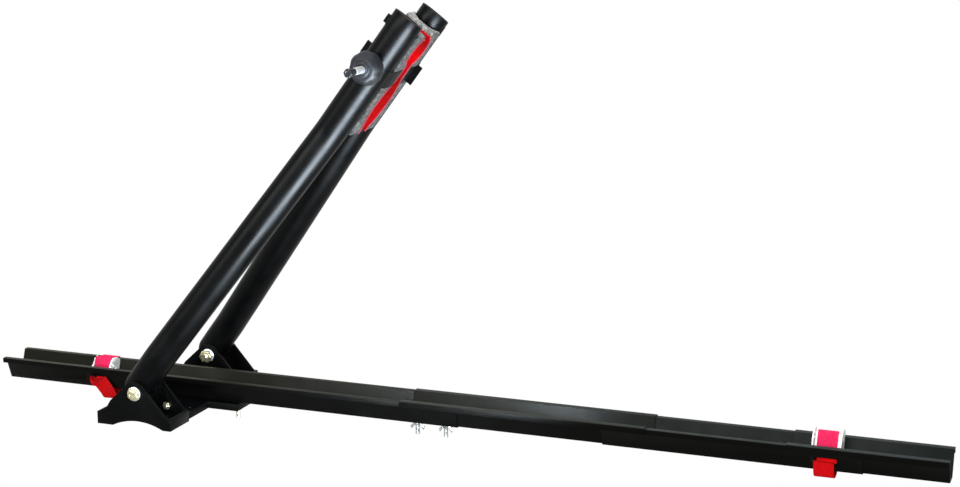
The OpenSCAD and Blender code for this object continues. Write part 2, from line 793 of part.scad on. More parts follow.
function strap_points(level) =
    let (up = level * nest, low = tray_z + tray_t + up + soft_gap + web_t / 2,
         lip = lip_w / 2 + up + web_off, top = tray_z + tray_h + up + web_off,
         slot = tray_z + slot_z, wall_len = (tray_h - tray_t) / cos(wall_lean),
         out = outer_point(slot, web_off + tray_t / 2), low_out = outer_point(tray_z, web_off + tray_t / 2),
         inner = hug + up)
    [[-out[0], slot], [-low_out[0] - 1, tray_z], [-floor_w / 2 + 2, tray_z - web_off - strap_sag * 0.6],
     [0, tray_z - web_off - strap_sag], [floor_w / 2 - 2, tray_z - web_off - strap_sag * 0.6],
     [low_out[0] + 1, tray_z], [lip, tray_z + tray_h - lip_drop - 4], [lip, top],
     [mouth_w / 2 + level * nest_side - web_t / 2, top],
     wall_point(wall_len, strap_n + up), wall_point(8, strap_n + up), wall_point(4, strap_n + up) + [-3, 0],
     [0, low], [-floor_w / 2 + 4 + up, low],
     [-floor_w / 2 - (slot - floor_top) * tan(wall_lean) + inner + 1.5, slot - 1.5]];

module strap(at, level) {
    color([0.80, 0.05, 0.06]) translate([tray_x + at - web_w / 2, 0, 0]) rotate([90, 0, 90])
        linear_extrude(web_w) difference() {
            offset(delta = web_t / 2) polygon(strap_points(level));
            offset(delta = -web_t / 2) polygon(strap_points(level));
        }
}

module near_strap() strap(near_strap_at, 0);
module far_strap() strap(far_strap_at, 1);

// Buckle frame: X across the webbing, Y up the wall, Z into the tray
module buckle_place(at, level) {
    foot = wall_point(0, level * nest);
    translate([tray_x + at, foot[0], foot[1]]) rotate([90 - wall_lean, 0, 0]) children();
}

module buckle(at, level) {
    color([0.82, 0.82, 0.80]) buckle_place(at, level) difference() {
        union() {
            translate([-buckle_w / 2, buckle_from, seat_gap]) cube([buckle_w, buckle_l, buckle_t]);
            for (s = [-1, 1]) translate([s * (buckle_w - cheek_t) / 2 - cheek_t / 2, buckle_from + 4, seat_gap])
                cube([cheek_t, buckle_l - 8, cheek_h]);
        }
        translate([0, cam_u, cam_n]) rotate([0, 90, 0]) cylinder(d = buckle_pin_d + 2 * run_gap, h = buckle_w + 2 * eps, center = true);
        translate([-web_w / 2 + 4, buckle_from + 9, -eps]) cube([web_w - 8, buckle_l - 18, buckle_t + 2 * eps + seat_gap]);
    }
}

module buckle_pin(at, level) {
    color([0.75, 0.75, 0.75]) buckle_place(at, level) translate([0, cam_u, cam_n]) rotate([0, 90, 0])
        cylinder(d = buckle_pin_d, h = buckle_w + 1.6, center = true);
}

module lever(at, level) {
    lever_w = buckle_w - 2 * cheek_t - 1.2;
    color([0.85, 0.85, 0.83]) buckle_place(at, level) translate([0, cam_u, cam_n]) difference() {
        union() {
            rotate([0, 90, 0]) cylinder(r = cam_r, h = lever_w, center = true);
            translate([-lever_w / 2, 0, cam_r - 2.4]) cube([lever_w, lever_l, 2.4]);
        }
        rotate([0, 90, 0]) cylinder(d = buckle_pin_d + 2 * run_gap, h = lever_w + 2 * eps, center = true);
        translate([0, lever_l - 6, 0]) cylinder(d = 5, h = 2 * cam_r);
    }
}

module near_buckle() buckle(near_strap_at, 0);
module near_buckle_pin() buckle_pin(near_strap_at, 0);
module near_lever() lever(near_strap_at, 0);
module far_buckle() buckle(far_strap_at, 1);
module far_buckle_pin() buckle_pin(far_strap_at, 1);
module far_lever() lever(far_strap_at, 1);

first_section();
long_section();
short_section();
last_section();
joiner_bolts();
wing_nuts();
joiner_rivets();
saddle();
seat_rubber();
near_bracket();
far_bracket();
saddle_bolts();
saddle_nuts();
bracket_bolts();
bracket_nuts();
pivot_bolts();
pivot_washers();
pivot_nuts();
clamp_screws();
near_arm();
near_foot();
near_sleeve();
near_plug();
near_pad();
near_liner();
near_bands();
far_arm();
far_foot();
far_sleeve();
far_plug();
far_pad();
far_liner();
far_bands();
stud();
stud_nut();
stud_washer();
knob_washer();
knob();
knob_insert();
near_strap();
near_buckle();
near_buckle_pin();
near_lever();
far_strap();
far_buckle();
far_buckle_pin();
far_lever();
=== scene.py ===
import json
import math
from collections import namedtuple

import bmesh
import bpy
from mathutils import Matrix, Vector


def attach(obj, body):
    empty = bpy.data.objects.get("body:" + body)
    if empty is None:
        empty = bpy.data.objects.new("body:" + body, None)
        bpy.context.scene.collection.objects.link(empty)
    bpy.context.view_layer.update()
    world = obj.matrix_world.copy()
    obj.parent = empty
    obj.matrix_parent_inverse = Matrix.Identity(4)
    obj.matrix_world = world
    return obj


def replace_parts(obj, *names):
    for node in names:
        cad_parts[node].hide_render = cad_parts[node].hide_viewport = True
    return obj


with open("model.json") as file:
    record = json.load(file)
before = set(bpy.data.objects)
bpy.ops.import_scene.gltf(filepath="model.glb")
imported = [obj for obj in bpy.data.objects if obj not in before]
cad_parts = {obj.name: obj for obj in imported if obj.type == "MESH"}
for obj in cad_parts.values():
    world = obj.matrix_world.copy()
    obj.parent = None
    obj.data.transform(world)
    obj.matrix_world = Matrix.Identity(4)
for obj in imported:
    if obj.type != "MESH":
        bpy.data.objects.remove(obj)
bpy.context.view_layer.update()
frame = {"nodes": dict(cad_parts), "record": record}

MM = 0.001
NODES = frame["nodes"]
SLOT_OF = {e["node"]: e["material_slot"] for e in frame["record"]["subparts"]}
BODY_OF = {n: b for b, ns in frame["record"]["behaviour"]["bodies"].items() for n in ns}
SIDES = ((-1, "near"), (1, "far"))

# The camera fitted to the photograph and the floor, in metres and degrees, the lens in millimetres
CAMERA_AT = (1.32978, -2.30870, 0.79984)
CAMERA_YAW = 20.418
CAMERA_PITCH = 12.201
CAMERA_LENS = 69.27
FLOOR_Z = -0.026
FLOOR_HALF = 6.0

# Sizes that repeat the part's, in millimetres, and the arms' lean in radians
LEAN = math.radians(53.3)
PIVOT_Z = 42
PIVOT_R = 5
ARM_OFFSET = 7
TUBE_R = 22
BORE_R = 20
FOOT_L = 52
FOOT_END = 12
FOOT_END_R = 24
ARM_L = 659
HEAD_L = 196
BEND_AT = ARM_L - HEAD_L
BRACKET_Y = 107.5
CHEEK_PLAY = 1.7
BASE_T = 3
WASHER_T = 2
HEAD_HALF = 48
SLEEVE_R = 8
STUD_AT = ARM_L - 80
STUD_R = 5
SLOT_L = 5.5
LINER_T = 2.5
PAD_FROM = ARM_L - 186
PAD_HALF = 24
SEAT_R = 25
SEAT_DEPTH = 13
SEAT_EDGE = 14
LOW_SEAT_L = 84
EAR_T = 2
KNOB_H = 23
KNOB_LOBES = 8
TRAY_X = -288
TRAY_Z = 5
TRAY_T = 1.2
TRAY_H = 34.5
FLOOR_W = 26
MOUTH_W = 50
LIP_W = 66
NEST = 1.3
CAM_U = 20
CAM_N = 9.3
CAM_R = 4.6
BUCKLE_W = 40
CHEEK_T = 2.4

# Sizes of the scene's own forms, which the solids lack or have a little different
BEND_R = 130
END_SLANT = 0.265
JAW_HALF = 10
LOW_SEAT_DEPTH = 11.5
LINER_TO = ARM_L - 21
BEAD_R = 1.4
BAND_T = 0.45
BAND_W = 28
BAND_AT = STUD_AT - 7
TOP_BAND_W = 13
TOP_BAND_AT = ARM_L - 17
NEAR_EAR_L = 20
NEAR_EAR_UP = 15
FAR_EAR_L = 30
KNOB_BASE = 74.3
KNOB_INSET = 1.5
LOBE_DEPTH = 1.1
SHANK_R = 4.9
STUD_TIP = 142
CAP_L = 19
CAP_HEX = 12.6
PIVOT_HEX = 15.6
WEB_W = 27
RIBBON_T = 1.5
PIN_HOLE_R = 2.12
EYE_R = 3.2

# A wheel strap. Its level counts the tray sections nested under the one that it lies in.
# Slide and sag move its loop along and below the tray. Cheeks are how far the buckle's sides stand out.
Strap = namedtuple("Strap", "arm x level slide sag lever_l cheek_top cheeks")
STRAPS = (
    Strap(arm="near", x=TRAY_X + 150, level=0, slide=21, sag=14, lever_l=13, cheek_top=37, cheeks=(12, 27)),
    Strap(arm="far", x=TRAY_X + 1240, level=1, slide=0, sag=7, lever_l=20, cheek_top=46, cheeks=(20, 26)),
)


# Places
def arm_point(off, y, along):
    """A point of the arm frame, in millimetres, as metres in the CAD frame."""
    return Vector((along * math.cos(LEAN) + off * math.sin(LEAN), y,
                   PIVOT_Z + along * math.sin(LEAN) - off * math.cos(LEAN))) * MM


OFF_AXIS = Vector((math.sin(LEAN), 0, -math.cos(LEAN)))


def axis_frame(at, axis, across=(1, 0, 0)):
    """A matrix that puts local Z on axis and local X near across, with the origin at a point in metres."""
    z = Vector(axis).normalized()
    x = Vector(across) - z * Vector(across).dot(z)
    if x.length < 1e-6:
        x = z.orthogonal()
    x.normalize()
    y = z.cross(x)
    turn = Matrix((x, y, z)).transposed().to_4x4()
    return Matrix.Translation(at) @ turn


def mm_frame(at, axis, across=(1, 0, 0)):
    """The same, for a form whose own sizes are in millimetres."""
    return axis_frame(at, axis, across) @ Matrix.Scale(MM, 4)


def normals(path):
    """The unit normal on the left of a flat open path, at each of its points."""
    result = []
    for i in range(len(path)):
        a, b = path[max(0, i - 1)], path[min(len(path) - 1, i + 1)]
        da, db = b[0] - a[0], b[1] - a[1]
        size = math.hypot(da, db)
        result.append((-db / size, da / size))
    return result


# Meshes
def shade(obj, sharp):
    for face in obj.data.polygons:
        face.use_smooth = True
    obj.data.set_sharp_from_angle(angle=math.radians(sharp))


def to_object(name, verts=None, faces=None, bm=None, sharp=35):
    mesh = bpy.data.meshes.new(name)
    if bm is None:
        mesh.from_pydata([tuple(v) for v in verts], [], faces)
    else:
        bm.to_mesh(mesh)
        bm.free()
    mesh.update()
    obj = bpy.data.objects.new(name, mesh)
    bpy.context.scene.collection.objects.link(obj)
    shade(obj, sharp)
    return obj


def apply_modifiers(obj, sharp):
    graph = bpy.context.evaluated_depsgraph_get()
    mesh = bpy.data.meshes.new_from_object(obj.evaluated_get(graph))
    old = obj.data
    obj.modifiers.clear()
    obj.data = mesh
    mesh.name = obj.name
    bpy.data.meshes.remove(old)
    shade(obj, sharp)


def welded(mesh):
    """The mesh for editing, with its doubled points merged."""
    bm = bmesh.new()
    bm.from_mesh(mesh)
    bmesh.ops.remove_doubles(bm, verts=bm.verts, dist=1e-6)
    return bm


def loft(name, rings, ends=True, sharp=35):
    """Faces between closed rings of the same number of points, with flat ends where ends is true."""
    count = len(rings[0])
    verts = [p for ring in rings for p in ring]
    faces = []
    for i in range(len(rings) - 1):
        for j in range(count):
            k = (j + 1) % count
            faces.append((i * count + j, i * count + k, (i + 1) * count + k, (i + 1) * count + j))
    if ends:
        faces.append(tuple(reversed(range(count))))
        faces.append(tuple(range((len(rings) - 1) * count, len(rings) * count)))
    return to_object(name, verts, faces, sharp=sharp)


def lathe(name, rows, place, sides=48, ends=True, sharp=35):
    """A turned form: each row is (r, z) in millimetres, or gives them for an angle."""
    rings = []
    for row in rows:
        ring = []
        for i in range(sides):
            a = 2 * math.pi * i / sides
            r, z = row(a) if callable(row) else row
            ring.append(place @ Vector((r * math.cos(a), r * math.sin(a), z)))
        rings.append(ring)
    return loft(name, rings, ends, sharp=sharp)


def joined(name, parts):
    """One object of several parts, which overlap and stay closed forms of their own."""
    bm = bmesh.new()
    for part in parts:
        bm.from_mesh(part.data)
    for part in parts:
        mesh = part.data
        bpy.data.objects.remove(part)
        bpy.data.meshes.remove(mesh)
    return to_object(name, bm=bm)


def face_out(obj):
    """Turn the faces of each closed form outwards."""
    bm = bmesh.new()
    bm.from_mesh(obj.data)
    bmesh.ops.recalc_face_normals(bm, faces=bm.faces)
    bm.to_mesh(obj.data)
    bm.free()
    return obj


def cut(obj, cutters, sharp=35):
    for cutter in cutters:
        step = obj.modifiers.new("cut", "BOOLEAN")
        step.operation = "DIFFERENCE"
        step.solver = "EXACT"
        step.object = cutter
    apply_modifiers(obj, sharp)
    for cutter in cutters:
        bpy.data.objects.remove(cutter)
    return obj


def dress(obj, material):
    obj.data.materials.clear()
    obj.data.materials.append(MATERIALS[material])


def settle(obj, node, *more):
    """The piece stands for a CAD node: it rides on its body and takes its slot and material."""
    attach(obj, BODY_OF[node])
    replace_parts(obj, node, *more)
    dress(obj, SLOT_OF[node])


def softened(node, width):
    """The CAD node's own form with its sharp edges broken, so that they catch the light."""
    bm = welded(NODES[node].data)
    bmesh.ops.dissolve_limit(bm, angle_limit=math.radians(0.5), verts=bm.verts, edges=bm.edges)
    obj = to_object(node + "_form", bm=bm)
    bevel = obj.modifiers.new("bevel", "BEVEL")
    bevel.width = width * MM
    bevel.segments = 2
    bevel.limit_method = "ANGLE"
    bevel.angle_limit = math.radians(30)
    bevel.use_clamp_overlap = True
    apply_modifiers(obj, 40)
    settle(obj, node)


# Camera, backdrop and lamps
def add_camera():
    data = bpy.data.cameras.new("camera")
    data.lens = CAMERA_LENS
    data.sensor_width = 36
    data.clip_end = 50
    camera = bpy.data.objects.new("camera", data)
    yaw = Matrix.Rotation(math.radians(CAMERA_YAW), 4, "Z")
    pitch = Matrix.Rotation(math.radians(90 - CAMERA_PITCH), 4, "X")
    camera.matrix_world = Matrix.Translation(CAMERA_AT) @ (yaw @ pitch)
    bpy.context.scene.collection.objects.link(camera)
    bpy.context.scene.camera = camera


def add_light(name, at, towards, size, power, color=(1, 1, 1), gloss_only=False):
    data = bpy.data.lights.new(name, "AREA")
    data.shape = "RECTANGLE"
    data.size, data.size_y = size
    data.energy = power
    data.color = color
    light = bpy.data.objects.new(name, data)
    light.location = at
    light.rotation_euler = (Vector(towards) - Vector(at)).to_track_quat("-Z", "Y").to_euler()
    light.visible_camera = False
    light.visible_diffuse = not gloss_only
    bpy.context.scene.collection.objects.link(light)
    return light


def seen_plainly(nodes, links):
    """One where the camera, a mirror or a clear piece sees the backdrop, and zero for all other light."""
    path = nodes.new("ShaderNodeLightPath")
    result = path.outputs["Is Camera Ray"]
    for kind in ("Is Glossy Ray", "Is Transmission Ray"):
        either = nodes.new("ShaderNodeMath")
        either.operation = "MAXIMUM"
        links.new(result, either.inputs[0])
        links.new(path.outputs[kind], either.inputs[1])
        result = either.outputs[0]
    return result


def white_backdrop(owner, plain_kind, lit_kind, out_kind, lit_values):
    """Plain white where it is seen plainly, and a softer surface or sky for all other light."""
    owner.use_nodes = True
    nodes, links = owner.node_tree.nodes, owner.node_tree.links
    nodes.clear()
    plain, lit = nodes.new(plain_kind), nodes.new(lit_kind)
    plain.inputs["Color"].default_value = (1, 1, 1, 1)
    for key, value in lit_values.items():
        lit.inputs[key].default_value = value
    mix = nodes.new("ShaderNodeMixShader")
    links.new(seen_plainly(nodes, links), mix.inputs[0])
    links.new(lit.outputs[0], mix.inputs[1])
    links.new(plain.outputs[0], mix.inputs[2])
    out = nodes.new(out_kind)
    links.new(mix.outputs[0], out.inputs["Surface"])
    return owner


def add_floor():
    mesh = bpy.data.meshes.new("floor")
    corners = ((-1, -1), (1, -1), (1, 1), (-1, 1))
    mesh.from_pydata([(x * FLOOR_HALF, y * FLOOR_HALF, FLOOR_Z) for x, y in corners], [], [(0, 1, 2, 3)])
    floor = bpy.data.objects.new("floor", mesh)
    matte = {"Color": (0.55, 0.55, 0.55, 1)}
    floor.data.materials.append(white_backdrop(bpy.data.materials.new("stage_white"), "ShaderNodeEmission",
                                               "ShaderNodeBsdfDiffuse", "ShaderNodeOutputMaterial", matte))
    bpy.context.scene.collection.objects.link(floor)


def add_world():
    sky = {"Color": (0.90, 0.95, 1.0, 1), "Strength": 0.4}
    bpy.context.scene.world = white_backdrop(bpy.data.worlds.new("studio"), "ShaderNodeBackground",
                                             "ShaderNodeBackground", "ShaderNodeOutputWorld", sky)
    bpy.context.scene.view_settings.view_transform = "Standard"


def add_lamps():
    """Two soft boxes, and two cards that only the glossy coats show."""
    middle = (0.4, 0, 0.1)
    add_light("top", (0.5, -0.7, 2.6), middle, (2.4, 1.4), 75)
    add_light("front", (1.0, -2.9, 1.3), middle, (1.6, 1.0), 30)
    pale_blue = (0.78, 0.89, 1.0)
    card = add_light("low_card", (0.50, -0.31, 0.11), (0.28, -0.06, 0.30), (0.58, 0.24), 75, pale_blue, True)
    # The card's long side lies along the near arm
    card.rotation_euler = axis_frame((0, 0, 0), (0.697, -0.490, -0.431), (0.592, 0.143, 0.793)).to_euler()
    add_light("high_card", (-0.45, -2.1, 1.12), (0.35, 0, 0.03), (2.6, 0.7), 90, (1, 1, 1), True)


# Materials
class Maker:
    """One material under construction, with short ways to add and join nodes."""

    def __init__(self, name):
        self.mat = bpy.data.materials.new(name)
        self.mat.use_nodes = True
        self.nodes = self.mat.node_tree.nodes
        self.links = self.mat.node_tree.links
        self.shader = self.nodes["Principled BSDF"]
        self.place = self.nodes.new("ShaderNodeTexCoord")

    def join(self, source, target):
        self.links.new(source, target)

    def set(self, **values):
        for key, value in values.items():
            self.shader.inputs[key.replace("_", " ")].default_value = value

    def noise(self, scale, detail):
        node = self.nodes.new("ShaderNodeTexNoise")
        node.inputs["Scale"].default_value = scale
        node.inputs["Detail"].default_value = detail
        self.join(self.place.outputs["Object"], node.inputs["Vector"])
        return node.outputs["Fac"]

    def ramp(self, source, low, high, start=0.3, end=0.7):
        node = self.nodes.new("ShaderNodeValToRGB")
        first, last = node.color_ramp.elements
        first.position, last.position = start, end
        first.color, last.color = (*low, 1), (*high, 1)
        self.join(source, node.inputs["Fac"])
        return node.outputs["Color"]

    def blend(self, factor, low, high):
        node = self.nodes.new("ShaderNodeMix")
        node.data_type = "RGBA"
        self.join(factor, node.inputs["Factor"])
        for source, socket in ((low, "A"), (high, "B")):
            target = next(s for s in node.inputs if s.name == socket and s.type == "RGBA")
            if isinstance(source, tuple):
                target.default_value = (*source, 1)
            else:
                self.join(source, target)
        return next(s for s in node.outputs if s.type == "RGBA")

    def spread(self, source, low, high, start=0.3, end=0.7):
        node = self.nodes.new("ShaderNodeMapRange")
        for key, value in (("From Min", start), ("From Max", end), ("To Min", low), ("To Max", high)):
            node.inputs[key].default_value = value
        self.join(source, node.inputs["Value"])
        return node.outputs["Result"]

    def math(self, operation, first, second=0.0):
        node = self.nodes.new("ShaderNodeMath")
        node.operation = operation
        for value, socket in ((first, node.inputs[0]), (second, node.inputs[1])):
            if isinstance(value, (int, float)):
                socket.default_value = value
            else:
                self.join(value, socket)
        return node.outputs[0]

    def parts_of(self, vector):
        """The X, Y and Z outputs of a vector."""
        node = self.nodes.new("ShaderNodeSeparateXYZ")
        self.join(vector, node.inputs[0])
        return node.outputs

    def along(self, axis):
        """How far each point lies along an axis, in metres."""
        node = self.nodes.new("ShaderNodeVectorMath")
        node.operation = "DOT_PRODUCT"
        self.join(self.place.outputs["Object"], node.inputs[0])
        node.inputs[1].default_value = axis
        return node.outputs["Value"]

    def bump(self, source, depth):
        node = self.nodes.new("ShaderNodeBump")
        node.inputs["Strength"].default_value = 1.0
        node.inputs["Distance"].default_value = depth
        self.join(source, node.inputs["Height"])
        self.join(node.outputs["Normal"], self.shader.inputs["Normal"])

    def color(self, source):
        self.join(source, self.shader.inputs["Base Color"])

    def rough(self, source):
        self.join(source, self.shader.inputs["Roughness"])


def powder_coat(name, low, high, rough, gloss, top_light=None):
    """Baked powder coat: fine orange peel and handling marks and, with a top light given, painted light on
    faces that look up, its tone changing along X.
    """
    m = Maker(name)
    m.set(Specular_IOR_Level=gloss)
    coat = m.ramp(m.noise(9, 4), low, high)
    if top_light:
        # Painted light: faces that look up are painted paler, standing in for the light from above, and that
        # light's tone changes along X
        up = m.parts_of(m.nodes.new("ShaderNodeNewGeometry").outputs["Normal"])["Z"]
        top_light_tone = m.ramp(m.along((1, 0, 0)), top_light[0], top_light[1], 0.1, 1.0)
        facing_up = m.spread(up, 0.0, 1.0, 0.12, 0.6)
        patches = m.spread(m.noise(45, 5), 0.75, 1.0)
        coat = m.blend(m.math("MULTIPLY", facing_up, patches), coat, top_light_tone)
    m.color(coat)
    m.rough(m.spread(m.noise(28, 5), rough - 0.05, rough + 0.07))
    m.bump(m.noise(900, 2), 0.00002)
    return m.mat


def plated(name, low, high, rough, metal=1.0):
    """Metal with a clouded colour and uneven gloss."""
    m = Maker(name)
    m.color(m.ramp(m.noise(120, 4), low, high))
    m.rough(m.spread(m.noise(260, 4), rough - 0.08, rough + 0.12))
    m.bump(m.noise(1400, 2), 0.00003)
    m.set(Metallic=metal)
    return m.mat


def moulded(name, low, high, rough):
    """Moulded plastic or rubber with a fine spark grain."""
    m = Maker(name)
    m.set(Specular_IOR_Level=0.12)
    m.color(m.ramp(m.noise(60, 3), low, high))
    m.rough(m.spread(m.noise(180, 3), rough - 0.06, rough + 0.08))
    m.bump(m.noise(1600, 2), 0.00004)
    return m.mat


def foam(name):
    """Closed cell foam: pale grey with a mottled skin and small pits."""
    m = Maker(name)
    dark, pale = (0.12, 0.125, 0.12), (0.52, 0.52, 0.50)
    patches = m.ramp(m.noise(170, 6), dark, pale, 0.36, 0.66)
    m.color(m.blend(m.spread(m.noise(900, 3), 0.0, 0.5), patches, dark))
    m.set(Roughness=0.92, Specular_IOR_Level=0.1)
    m.bump(m.noise(700, 4), 0.00025)
    return m.mat


def liner_rubber(name):
    """Red moulded rubber; its rounded long edges at both sides of the arm are painted paler pink, a painted
    sheen.
    """
    m = Maker(name)
    middle = OFF_AXIS.z * PIVOT_Z * MM - ARM_OFFSET * MM
    across = m.math("ABSOLUTE", m.math("SUBTRACT", m.along(OFF_AXIS), middle))
    # Painted sheen: the paler pink on the rounded long edges stands in for the light they catch
    edge = m.spread(across, 0.0, 1.0, (PAD_HALF - 0.6) * MM, (PAD_HALF + 0.2) * MM)
    face = m.ramp(m.noise(60, 3), (0.70, 0.001, 0.002), (0.80, 0.002, 0.004))
    m.set(Specular_IOR_Level=0.02)
    m.color(m.blend(edge, face, (0.85, 0.22, 0.30)))
    m.rough(m.spread(m.noise(180, 3), 0.5, 0.65))
    m.bump(m.noise(1600, 2), 0.00002)
    return m.mat


def webbing(name):
    """Woven polyester in the strap's own UV: ribs and warp, red low down, with painted light from above
    turning it pink higher up.
    """
    m = Maker(name)
    rib_pitch, warp_pitch = 0.0016, 0.0022
    red_to, lit_pink_from = 0.022, 0.030
    uv = m.parts_of(m.place.outputs["UV"])
    rib = m.math("SINE", m.math("MULTIPLY", uv["Y"], 2 * math.pi / rib_pitch))
    warp = m.math("SINE", m.math("MULTIPLY", uv["X"], 2 * math.pi / warp_pitch))
    weave = m.math("MULTIPLY", rib, warp)
    red = m.ramp(m.noise(240, 3), (0.86, 0.003, 0.004), (0.96, 0.006, 0.008))
    # Painted light: higher up, towards the lip, the red turns paler pink, standing in for the light from
    # above
    lit_pink = m.ramp(m.noise(240, 3), (0.88, 0.02, 0.10), (0.98, 0.04, 0.17))
    yarn_and_top_light = m.blend(m.spread(m.along((0, 0, 1)), 0.0, 1.0, red_to, lit_pink_from), red, lit_pink)
    m.color(m.blend(m.spread(weave, 0.0, 0.25, -1, 1), yarn_and_top_light, (0.50, 0.003, 0.015)))
    m.set(Roughness=0.8, Specular_IOR_Level=0.05)
    m.bump(weave, 0.00012)
    return m.mat


# Colours of the painted light from above on the tray's up-facing faces, at its left and right ends
TRAY_TOP_LIGHT = ((0.022, 0.022, 0.014), (0.020, 0.026, 0.025))
MATERIAL_KINDS = (
    ("tray_coat", powder_coat, ((0.0016, 0.0016, 0.0012), (0.0032, 0.0032, 0.0024), 0.42, 0.035, TRAY_TOP_LIGHT)),
    ("arm_coat", powder_coat, ((0.0008, 0.0010, 0.0010), (0.0016, 0.0019, 0.0021), 0.34, 0.05)),
    ("zinc", plated, ((0.30, 0.27, 0.15), (0.60, 0.56, 0.38), 0.30)),
    ("steel", plated, ((0.80, 0.79, 0.78), (0.88, 0.87, 0.86), 0.34, 0.7)),
    ("brass", plated, ((0.62, 0.46, 0.20), (0.80, 0.62, 0.30), 0.32)),
    ("seat_rubber", moulded, ((0.012, 0.012, 0.012), (0.022, 0.022, 0.022), 0.7)),
    ("foam", foam, ()),
    ("liner", liner_rubber, ()),
    ("webbing", webbing, ()),
    ("buckle", plated, ((0.80, 0.80, 0.78), (0.92, 0.92, 0.90), 0.40, 0.15)),
    ("bright_zinc", plated, ((0.16, 0.165, 0.16), (0.40, 0.41, 0.39), 0.26)),
    ("plastic", moulded, ((0.012, 0.014, 0.018), (0.020, 0.022, 0.028), 0.5)),
)
MATERIALS = {name: kind(name, *values) for name, kind, values in MATERIAL_KINDS}


# Arms
FLARE = math.atan((BRACKET_Y - HEAD_HALF) / (BEND_AT - FOOT_L))
BEND_RUN = BEND_R * math.tan(FLARE / 2)


def arm_line(side):
    """Stations up an arm tube as (y, along, lean towards the middle), with round bends."""
    steps = 10
    leg_steps = 8
    low, high = FOOT_L - BEND_RUN, BEND_AT + BEND_RUN
    line = [(BRACKET_Y, along, 0.0) for along in (20, 30, low)]
    for i in range(1, steps + 1):
        a = FLARE * i / steps
        line.append((BRACKET_Y - BEND_R * (1 - math.cos(a)), low + BEND_R * math.sin(a), a))
    end_y, end_along, _ = line[-1]
    top_y, top_along = HEAD_HALF + BEND_R * (1 - math.cos(FLARE)), high - BEND_R * math.sin(FLARE)
    for i in range(1, leg_steps + 1):
        t = i / leg_steps
        line.append((end_y + (top_y - end_y) * t, end_along + (top_along - end_along) * t, FLARE))
    for i in range(1, steps + 1):
        a = FLARE * (1 - i / steps)
        line.append((HEAD_HALF + BEND_R * (1 - math.cos(a)), high - BEND_R * math.sin(a), a))
    line += [(HEAD_HALF, ARM_L - back, 0.0) for back in (139, 99, 59, 19)]
    return [(side * y, along, side * lean) for y, along, lean in line]


def arm_ring(y, along, lean, r, sides, foot=False, slant=0.0):
    """A ring round an arm tube; a foot ring follows the round end of the leg, and slant tilts it."""
    ring = []
    for i in range(sides):
        a = 2 * math.pi * i / sides
        off, across = r * math.cos(a), r * math.sin(a)
        up = FOOT_END - math.sqrt(FOOT_END_R ** 2 - off ** 2) if foot else along + across * math.sin(lean)
        ring.append(arm_point(off - ARM_OFFSET, y + across * math.cos(lean), up - slant * across))
    return ring


def arm_tube(side, arm):
    """The bent tube with its wall, from the round foot to the slanted and eased end."""
    sides = 80
    line = arm_line(side)
    foot_y, end = side * BRACKET_Y, side * HEAD_HALF
    rings = [arm_ring(foot_y, 0, 0, r, sides, True) for r in (BORE_R, TUBE_R - 0.3)]
    rings += [arm_ring(*station, TUBE_R, sides) for station in line]
    rings += [arm_ring(end, ARM_L - back, 0, TUBE_R - drop, sides, slant=END_SLANT)
              for back, drop in ((0.5, 0), (0.15, 0.15), (0, 0.5))]
    rings += [arm_ring(end, ARM_L, 0, BORE_R, sides, slant=END_SLANT)]
    rings += [arm_ring(*station, BORE_R, sides) for station in reversed(line)]
    rings += [rings[0]]
    tube = loft(arm + "_tube", rings, ends=False, sharp=40)
    bm = welded(tube.data)
    bm.to_mesh(tube.data)
    bm.free()
    place = mm_frame(arm_point(0, foot_y, 0), (0, 1, 0))
    sleeve = lathe("cut_sleeve", [(SLEEVE_R, -40), (SLEEVE_R, 40)], place)
    cut(tube, [sleeve, stud_cutter(side)], 40)
    settle(tube, arm + "_arm", arm + "_foot")


def stud_cutter(side):
    """The stud's way through a tube; the near one is a slot that lets the arm swing."""
    r, run = (6.2, SLOT_L) if side < 0 else (5.25, 0)
    ring = []
    for i in range(48):
        a = 2 * math.pi * i / 48
        along = r * math.sin(a)
        ring.append((r * math.cos(a), along - (run if along < 0 else 0)))
    ends = [[arm_point(off - ARM_OFFSET, side * y, STUD_AT + along) for off, along in ring] for y in (10, 90)]
    if side < 0:
        ends.reverse()
    return loft("cut_stud", ends)


def tube_cap(side, arm):
    """A moulded plug pushed into the slanted tube end, with a shallow dished face."""
    end = side * HEAD_HALF
    inner = arm_ring(end, ARM_L - 24, 0, BORE_R - 0.15, 64)
    face = [(0.15, 1.2), (0.6, 0.7), (2.6, 0.6), (3.2, 1.3), (8, 1.7), (BORE_R - 4, 1.8)]
    rings = [inner] + [arm_ring(end, ARM_L - back, 0, BORE_R - inset, 64, slant=END_SLANT)
                       for inset, back in face]
    settle(loft(arm + "_tube_cap", rings, sharp=40), arm + "_plug")


def band_strip(side, at, width, path):
    """A thin strip whose inner face follows a path of (off, out from the tube's middle)."""
    outer = [(o + no * BAND_T, v + nv * BAND_T) for (o, v), (no, nv) in zip(path, normals(path))]
    section = path + outer[::-1]
    rings = [[arm_point(o - ARM_OFFSET, side * (HEAD_HALF + v), at + up) for o, v in section]
             for up in (-width / 2, width / 2)]
    if side < 0:
        rings.reverse()
    return loft("strip", rings)


def band_ear(side, at, length, low, high, lift):
    """A flat ear that stands out from a band, from low to high off the arm's middle plane."""
    corners = [(low, 0), (high, 0), (high, EAR_T), (low, EAR_T)]
    half = length / 2
    return loft("ear", [[arm_point(side * o - ARM_OFFSET, side * (HEAD_HALF + lift + v), at + up)
                         for o, v in corners] for up in (-half, -half + 1, half - 1, half)])


